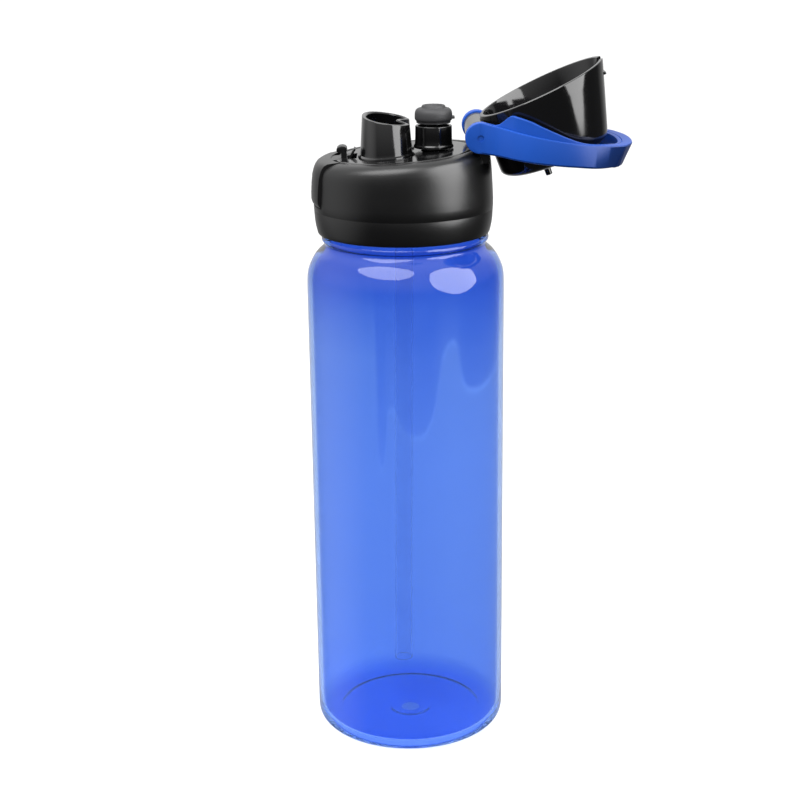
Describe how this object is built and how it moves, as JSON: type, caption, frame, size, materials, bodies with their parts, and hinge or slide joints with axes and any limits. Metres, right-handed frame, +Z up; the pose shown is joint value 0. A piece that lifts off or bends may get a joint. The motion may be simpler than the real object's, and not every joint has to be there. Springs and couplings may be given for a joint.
{
  "type": "sports drinking bottle",
  "caption": "Tall clear blue drinking bottle with a black screw lid, open flip cover over a chug spout and straw nozzle, and a hinged blue carry loop.",
  "frame": {"origin": "centre of the base, on the surface the bottle stands on", "axes": "+Z up along the bottle's axis, +X towards the lid hinge, so the latch button faces -X"},
  "size_m": [0.133, 0.082, 0.2885],
  "materials": {
    "bottle_blue": "clear blue copolyester, polished",
    "satin_black": "satin moulded polypropylene",
    "gloss_black": "high-gloss moulded ABS",
    "grey_silicone": "matte food-grade silicone",
    "clear_silicone": "translucent food-grade silicone",
    "loop_blue": "fine-textured moulded polypropylene",
    "steel": "drawn stainless wire and pin",
    "straw_blue": "thin extruded translucent tube"
  },
  "bodies": {
    "bottle": {"bottle_body": "bottle_blue"},
    "seal_ring": {"neck_gasket": "clear_silicone"},
    "lid": {"lid_collar": "satin_black", "spout_deck": "gloss_black", "nozzle_post": "gloss_black", "mouthpiece": "grey_silicone", "straw_duct": "gloss_black", "straw_sleeve": "clear_silicone", "straw": "straw_blue", "vent_valve": "grey_silicone", "cover_pin": "steel", "loop_pin_near": "steel", "loop_pin_far": "steel", "cover_spring": "steel"},
    "flip_cover": {"cover": "gloss_black", "spout_seal": "clear_silicone", "nozzle_seal": "clear_silicone"},
    "loop": {"carry_loop": "loop_blue"},
    "latch": {"latch_button": "satin_black", "latch_spring": "satin_black"}
  },
  "joints": [
    {"name": "lid_lift", "type": "slide", "parent": "bottle", "child": "seal_ring", "axis": [0, 0, 1], "range_m": [0, 0.006]},
    {"name": "lid_turn", "type": "hinge", "parent": "seal_ring", "child": "lid", "pos_m": [0, 0, 0.2192], "axis": [0, 0, 1], "range_deg": [0, 540]},
    {"name": "cover_hinge", "type": "hinge", "parent": "lid", "child": "flip_cover", "pos_m": [0.0302, 0, 0.2597], "axis": [0, -1, 0], "range_deg": [0, 159.1]},
    {"name": "loop_hinge", "type": "hinge", "parent": "lid", "child": "loop", "pos_m": [0.0302, 0, 0.2597], "axis": [0, -1, 0], "range_deg": [0, 99]},
    {"name": "latch_press", "type": "slide", "parent": "lid", "child": "latch", "axis": [1, 0, 0], "range_m": [0, 0.0012], "stiffness_N_per_m": 800}
  ],
  "couplings": [
    {"joint": "lid_lift", "follows": "lid_turn", "m_per_rad": 0.00063662},
    {"joint": "loop_hinge", "follows": "cover_hinge", "ratio": 0.62}
  ]
}
